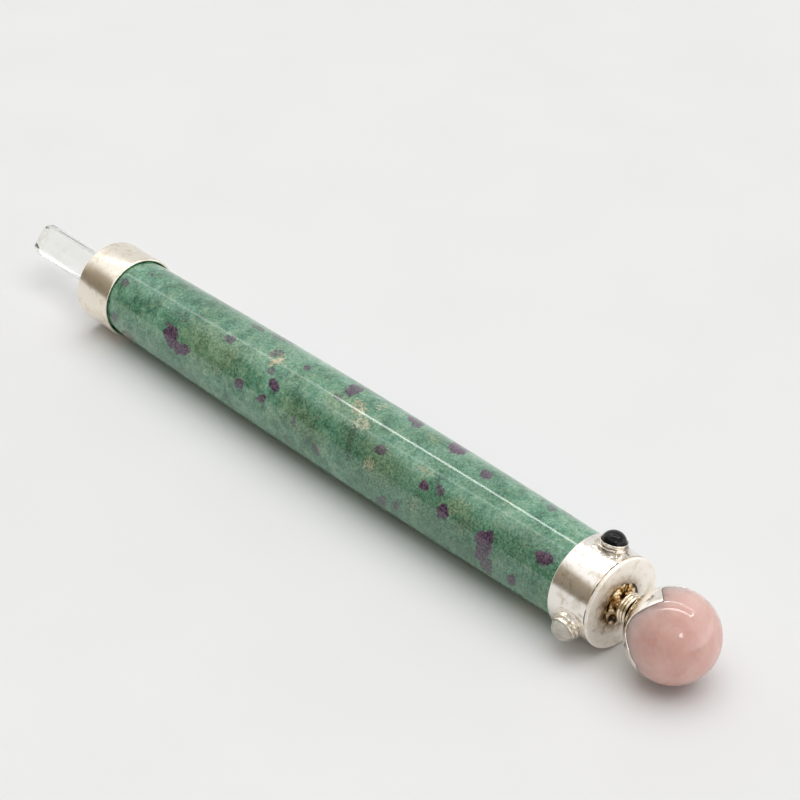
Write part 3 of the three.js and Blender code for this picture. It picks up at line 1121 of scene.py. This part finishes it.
@dataclass
class StoneCollar:
    """The near collar, gently tapered, closed by a flat disc and carrying the cabochons."""

    end_radius: float = 9.58
    inner_gap: float = 0.06
    rod_radius: float = 9.2
    wall: float = 0.45
    rim_length: float = 1.2
    end_bevel: tuple[float, float] = (0.1, 0.12)
    seam_inner: float = 0.3
    seam_proud: float = 0.06
    seam_half: float = 0.09
    disc_inset: float = 0.37
    disc_edge: float = 0.2

    def build(self) -> None:
        """Builds the collar, the disc and the cabochons."""
        self.collar()
        self.seam()
        self.disc()
        for gem in Gem:
            CabochonSetting(gem).build()

    def collar(self) -> None:
        """Turns the collar with its rim rolled in to the stone."""
        low, high = node_span("stone_collar")
        lip = (COLLAR_RADIUS - self.rod_radius - self.inner_gap) / 2
        bevel_in, bevel_along = self.end_bevel
        profile = [
            (self.end_radius - self.wall, high),
            (COLLAR_RADIUS - self.wall, low + self.rim_length),
            *arc((COLLAR_RADIUS - lip, low + lip * 0.6), lip, -180, 0, 10),
            (self.end_radius, high - bevel_along),
            (self.end_radius - bevel_in, high),
            (self.end_radius - self.wall, high),
        ]
        collar = Modeller.turned("cabochon_collar", profile, 128)
        finish = WorkedSilver("mirror_silver", "#f4efe8", 0.17, 0.03)
        place_piece(collar, finish.material(), "stone_collar")

    def seam(self) -> None:
        """Turns the thin line of burnt solder between the collar and the disc."""
        middle = (node_span("stone_collar")[1] + node_span("end_disc")[0]) / 2
        half = self.seam_half
        inner, outer = self.end_radius - self.seam_inner, self.end_radius + self.seam_proud
        bead = arc((outer - half, middle), half, -90, 90, 6)
        profile = [(inner, middle - half), *bead, (inner, middle + half), (inner, middle - half)]
        seam = Modeller.turned("disc_seam", profile, 128, smooth_angle=60)
        place_piece(seam, BurntSolder().material())

    def disc(self) -> None:
        """Turns the disc with a rounded edge."""
        low, high = node_span("end_disc")
        edge = self.disc_edge
        radius = COLLAR_RADIUS - self.disc_inset
        profile = [
            (0.0, low),
            *arc((radius - edge, low + edge), edge, -90, 0, 5),
            *arc((radius - edge, high - edge), edge, 0, 90, 5),
            (radius * 0.6, high),
            (0.0, high),
        ]
        disc = Modeller.turned("closing_disc", profile, 128)
        finish = WorkedSilver("heat_stained_silver", "#faf5ee", 0.6, 0.01, 5.6, "#e6dccb")
        place_piece(disc, finish.material(), "end_disc")


@dataclass
class Neck:
    """The soldered post between the disc and the cup, with its wire turns."""

    radius: float = 2.5
    foot_radius: float = 4.4
    foot_height: float = 1.3
    foot_rows: int = 12
    shoulder: float = 2.0
    dish: float = 0.3
    wire_radius: float = 0.32
    wire_sides: int = 14
    steps: int = 96

    def build(self) -> None:
        """Builds the post and the wire turns."""
        self.post()
        for ring in (1, 2, 3):
            self.ring(ring)

    def post(self) -> None:
        """Turns the post with its spreading foot and makes the solder lumpy."""
        low, high = node_span("neck_post")
        profile = [(0.0, low)]
        for row in range(self.foot_rows + 1):
            share = row / self.foot_rows
            radius = self.radius + (self.foot_radius - self.radius) * (1 - share) ** 2
            profile.append((radius, low + self.foot_height * share))
        profile += [(self.radius, low + self.shoulder), (self.radius, high), (0.0, high - self.dish)]
        post = Modeller.turned("soldered_post", profile, self.steps, smooth_angle=60)
        Modeller.roughened(post, size=0.8, depth=0.35)
        place_piece(post, BurntSolder().material(), "neck_post")

    def ring(self, number: int) -> None:
        """Turns one round of wire.

        Args:
            number: The round's number, from the disc.
        """
        node = f"neck_ring_{number}"
        low, high = node_span(node)
        centre = ((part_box(node)[1].z / MM - AXIS.z) - self.wire_radius, (low + high) / 2)
        profile = arc(centre, self.wire_radius, 0, 360, self.wire_sides)
        wire = Modeller.turned(f"neck_wire_{number}", profile, self.steps, smooth_angle=60)
        Modeller.roughened(wire, size=1.2, depth=0.08)
        finish = WorkedSilver("drawn_silver_wire", "#f0e6d2", 0.12, 0.02)
        place_piece(wire, finish.material(), node)


@dataclass
class CuppedBall:
    """The rose quartz ball and the thin cup around its back, cut by hand into four uneven petals."""

    cup_gap: float = 0.12
    cup_wall: float = 0.4
    # The dark film in the gap between the ball and the cup is painted shade; it reaches past the cup's edge
    # by the overhang.
    film_gap: float = 0.01
    gap_shade_overhang: float = 1.3
    cup_steps: int = 160
    cup_rows: int = 26
    ball_steps: int = 112
    ball_rows: int = 72
    # The cut edge: degrees around the axis from the top, and degrees from the neck.
    edge: tuple[tuple[float, float], ...] = (
        (-70, 85), (-55, 81), (-42, 77), (-34, 76), (-27, 74), (-20, 66), (-15, 59), (-7, 62), (0, 67),
        (15, 84), (33, 71), (52, 57), (66, 54), (78, 58), (92, 71), (108, 84), (122, 83), (145, 67),
        (162, 56), (178, 63), (200, 82), (214, 84), (233, 71), (250, 59), (264, 64), (280, 81), (290, 85),
    )

    def build(self) -> None:
        """Builds the ball, the dark film of painted shade in the gap between ball and cup, and the cup."""
        low, high = node_span("rose_quartz_ball")
        centre = (low + high) / 2
        radius = (high - low) / 2
        self.ball(centre, radius)
        # The dark film laid here is painted shade in the gap between the ball and the cup.
        self.cement(centre, radius)
        self.cup(centre, radius + self.cup_gap)

    def ball(self, centre: float, radius: float) -> None:
        """Turns the ball.

        Args:
            centre: Its centre along the wand, in millimetres.
            radius: Its radius.
        """
        profile = arc((0.0, centre), radius, -90, 90, self.ball_rows)
        ball = Modeller.turned("rose_quartz_sphere", profile, self.ball_steps, smooth_angle=60)
        place_piece(ball, ROSE_QUARTZ.material(), "rose_quartz_ball")

    def cup(self, centre: float, radius: float) -> None:
        """Makes the silver cup.

        Args:
            centre: The ball's centre along the wand, in millimetres.
            radius: The cup's inner radius.
        """
        cup = self.petals("silver_petal_cup", centre, radius, self.cup_wall, 0.0)
        finish = WorkedSilver("cup_silver", "#f4efe6", 0.1, 0.02)
        place_piece(cup, finish.material(), "petal_cup")

    def cement(self, centre: float, radius: float) -> None:
        """Makes a dark film between the ball and the cup that shows along the cup's edge: painted shade for
        the gap there.

        Args:
            centre: The ball's centre along the wand, in millimetres.
            radius: The ball's radius.
        """
        inner, wall = radius + self.film_gap, self.cup_gap - 2 * self.film_gap
        film = self.petals("cup_gap_painted_shade", centre, inner, wall, self.gap_shade_overhang)
        # Pressed out and set hard: a dull brown line.
        # A dull brown sheet: painted shade in the gap between the cup and the ball.
        finish = MilkyGem("painted_gap_shade", "#4f3a2c", "#8a6a55", 1.2, 1.5, 0.0, 0.5, 0.0, 0.35)
        place_piece(film, finish.material())

    def petals(
        self, name: str, centre: float, radius: float, wall: float, overhang: float
    ) -> bpy.types.Object:
        """Turns a bowl, draws its edge out into petals and gives it its wall.

        Args:
            name: The piece's name.
            centre: The ball's centre along the wand, in millimetres.
            radius: The bowl's inner radius.
            wall: The thickness of its wall.
            overhang: How far it reaches past the cut edge, in degrees.

        Returns:
            The piece.
        """
        unit = math.degrees(1.0)
        profile = arc((0.0, centre), radius, -90, -90 + unit, self.cup_rows)
        cup = Modeller.turned(name, profile, self.cup_steps, smooth_angle=60)
        angles, reaches = zip(*self.edge)
        for vertex in cup.data.vertices:
            place = vertex.co / MM - AXIS - ALONG * centre
            around = math.atan2(-place.y, place.z)
            wrapped = (math.degrees(around) - angles[0]) % 360 + angles[0]
            bend = math.atan2(math.hypot(place.y, place.z), -place.x)
            bend *= math.radians(float(np.interp(wrapped, angles, reaches)) + overhang)
            out = outward(math.degrees(around)) * math.sin(bend)
            vertex.co = (AXIS + ALONG * centre + (out - ALONG * math.cos(bend)) * radius) * MM
        bpy.ops.object.mode_set(mode="EDIT")
        bpy.ops.mesh.select_all(action="SELECT")
        bpy.ops.mesh.normals_make_consistent(inside=False)
        bpy.ops.object.mode_set(mode="OBJECT")
        sheet = cup.modifiers.new("wall", "SOLIDIFY")
        sheet.thickness = wall * MM
        sheet.offset = 1.0
        bpy.context.view_layer.objects.active = cup
        bpy.ops.object.modifier_apply(modifier=sheet.name)
        soft = cup.modifiers.new("soft_edge", "BEVEL")
        soft.width = wall / 4 * MM
        soft.segments = 2
        soft.limit_method = "ANGLE"
        soft.angle_limit = math.radians(50)
        bpy.ops.object.modifier_apply(modifier=soft.name)
        bpy.ops.object.shade_smooth_by_angle(angle=math.radians(40))
        return cup


@dataclass(frozen=True)
class Strip:
    """A thin lamp overhead.

    Attributes:
        name: Its name.
        start: One end on the plan, in millimetres.
        stop: The other end.
        width: Its width in millimetres.
        brightness: Its radiance.
    """

    name: str
    start: tuple[float, float]
    stop: tuple[float, float]
    width: float
    brightness: float


@dataclass
class Studio:
    """The paper floor, the soft light around it and the camera."""

    camera_place: tuple[float, float, float] = (365.35, -240.29, 257.92)
    camera_aim: tuple[float, float, float] = (-0.6256, 0.5610, -0.5422)
    lens: float = 94.33
    sensor: float = 36.0
    floor_side: float = 6000.0
    paper_tooth: float = 40.0
    key_from: tuple[float, float, float] = (0.05, 0.12, 0.99)
    key_strength: float = 1.9
    key_spread: float = 70.0
    fill: float = 0.54
    end_glow: float = 1.2
    lamp_height: float = 500.0
    spot_size: float = 150.0
    spot_brightness: float = 5.0
    spot_place: tuple[float, float, float] = (698.0, -271.0, 500.0)
    spot_target: tuple[float, float, float] = (173.0, 0.0, 10.0)
    strips: tuple[Strip, ...] = (
        Strip("far_strip", (-620.0, -46.0), (-330.0, 93.0), 50.0, 1.8),
        Strip("back_strip", (-330.0, 93.0), (-100.0, 203.0), 42.0, 8.0),
        Strip("back_right_strip", (-100.0, 203.0), (330.0, 410.0), 42.0, 4.5),
        Strip("front_strip", (-360.0, -205.0), (-100.0, -47.0), 36.0, 1.6),
        Strip("front_right_strip", (-100.0, -47.0), (395.0, 255.0), 44.0, 7.0),
        Strip("end_strip", (330.0, 410.0), (395.0, 255.0), 44.0, 7.0),
    )

    def build(self) -> None:
        """Builds the floor, the light and the camera."""
        self.floor()
        self.surroundings()
        for strip in self.strips:
            self.strip(strip)
        self.key()
        self.spot()
        self.camera()
        bpy.context.scene.view_settings.view_transform = "Standard"

    def floor(self) -> None:
        """Lays the sheet of paper."""
        bpy.ops.object.select_all(action="DESELECT")
        bpy.ops.mesh.primitive_plane_add(size=self.floor_side * MM)
        floor = bpy.context.object
        floor.name = "paper_floor"
        # Uncoated paper, rolled smooth: an even pale grey without shine.
        material, tree = start_material("matt_white_paper")
        place = add_node(tree, Kind.COORDINATES, out="Object")
        tooth = add_node(tree, Kind.NOISE, {"Vector": place, "Scale": per_metre(self.paper_tooth)})
        colour = add_node(tree, Kind.RAMP, (tooth,), stops=((0.3, "#e4e4e4"), (0.7, "#e6e6e6")))
        end_material(tree, {"Base Color": colour, "Roughness": 0.7, "Specular IOR Level": 0.2})
        floor.data.materials.append(material)

    def surroundings(self) -> None:
        """Sets the soft light all around, dimmer on the open front and brighter past the ball."""
        world = bpy.data.worlds.new("light_tent")
        bpy.context.scene.world = world
        world.use_nodes = True
        tree = world.node_tree
        tree.nodes.clear()
        way = add_node(tree, Kind.COORDINATES, out="Generated")
        side = add_node(tree, Kind.SEPARATE, (way,), "X")
        front = add_node(tree, Kind.SEPARATE, (way,), "Y")
        height = add_node(tree, Kind.SEPARATE, (way,), "Z")
        low_front = add_node(tree, Kind.RANGE, (height, 0.67, 0.55))
        dim = add_node(tree, Kind.RANGE, (front, -0.22, -0.52))
        dim = add_node(tree, Kind.MATH, (dim, low_front), operation="MULTIPLY")
        dark = add_node(tree, Kind.RANGE, (height, 0.1, 0.6, 0.28, 0.5))
        open_sky = add_node(tree, Kind.RANGE, (front, 0.0, 0.4, 1.12, 0.82))
        overhead = add_node(tree, Kind.RANGE, (height, 0.8, 0.95, 1.0, 0.75))
        open_sky = add_node(tree, Kind.MATH, (open_sky, overhead), operation="MULTIPLY")
        past_ball = add_node(tree, Kind.RANGE, (side, 0.1, 0.5, 0.0, self.end_glow))
        low = add_node(tree, Kind.RANGE, (height, 0.5, 0.1))
        open_sky = add_node(tree, Kind.MATH, (past_ball, low, open_sky), operation="MULTIPLY_ADD")
        strength = add_node(tree, Kind.MIX, {0: dim, 2: open_sky, 3: dark})
        soft = add_node(tree, Kind.LIGHT_PATH, out="Is Diffuse Ray")
        soft = add_node(tree, Kind.RANGE, (soft, 0.0, 1.0, 1.0, self.fill))
        strength = add_node(tree, Kind.MATH, (strength, soft), operation="MULTIPLY")
        hue = add_node(tree, Kind.RAMP, (dim,), stops=((0.0, "#ffffff"), (1.0, "#e2d3bb")))
        background = add_node(tree, Kind.BACKGROUND, {"Strength": strength, "Color": hue})
        add_node(tree, Kind.WORLD_OUTPUT, (background,))

    @staticmethod
    def lamp(name: str, shape: str, size: float, depth: float, brightness: float) -> bpy.types.Object:
        """Makes an area lamp.

        Args:
            name: Its name.
            shape: The shape of its face.
            size: Its first size in millimetres.
            depth: Its second size.
            brightness: Its radiance.

        Returns:
            The lamp, at the origin and facing down.
        """
        light = bpy.data.lights.new(name, "AREA")
        light.shape = shape
        light.size = size * MM
        light.size_y = depth * MM
        light.energy = brightness * math.pi * size * depth * MM * MM
        lamp = bpy.data.objects.new(name, light)
        bpy.context.scene.collection.objects.link(lamp)
        return lamp

    def strip(self, strip: Strip) -> None:
        """Hangs a thin lamp.

        Args:
            strip: The lamp.
        """
        span = Vector(strip.stop) - Vector(strip.start)
        lamp = self.lamp(strip.name, "RECTANGLE", span.length, strip.width, strip.brightness)
        middle = (Vector(strip.start) + Vector(strip.stop)) / 2
        lamp.location = Vector((middle.x, middle.y, self.lamp_height)) * MM
        lamp.rotation_euler.z = math.atan2(span.y, span.x)
        lamp.visible_diffuse = False

    def key(self) -> None:
        """Adds the broad soft light from behind, which casts the shadow towards the camera."""
        light = bpy.data.lights.new("soft_key", "SUN")
        light.energy = self.key_strength
        light.angle = math.radians(self.key_spread)
        key = bpy.data.objects.new("soft_key", light)
        bpy.context.scene.collection.objects.link(key)
        key.rotation_euler = (-Vector(self.key_from)).to_track_quat("-Z", "Y").to_euler()
        key.visible_glossy = False

    def spot(self) -> None:
        """Sets the small lamp beside the camera."""
        lamp = self.lamp("small_lamp", "DISK", self.spot_size, self.spot_size, self.spot_brightness)
        lamp.location = Vector(self.spot_place) * MM
        target = Vector(self.spot_target) * MM
        lamp.rotation_euler = (target - lamp.location).to_track_quat("-Z", "Y").to_euler()
        lamp.visible_diffuse = False

    def camera(self) -> None:
        """Stands the camera where the wand is seen from."""
        camera = bpy.data.cameras.new("camera")
        camera.sensor_fit = "HORIZONTAL"
        camera.sensor_width = self.sensor
        camera.lens = self.lens
        camera.clip_start = 0.01
        camera.clip_end = 20.0
        stand = bpy.data.objects.new("camera", camera)
        bpy.context.scene.collection.objects.link(stand)
        stand.location = Vector(self.camera_place) * MM
        stand.rotation_euler = Vector(self.camera_aim).to_track_quat("-Z", "Y").to_euler()
        bpy.context.scene.camera = stand


def main() -> None:
    """Builds the wand piece by piece, and the studio around it."""
    logging.basicConfig(level=logging.INFO, format="%(message)s")
    Studio().build()
    StoneRod().build()
    CrystalEnd().build()
    StoneCollar().build()
    Neck().build()
    CuppedBall().build()


if __name__ == "__main__":
    main()
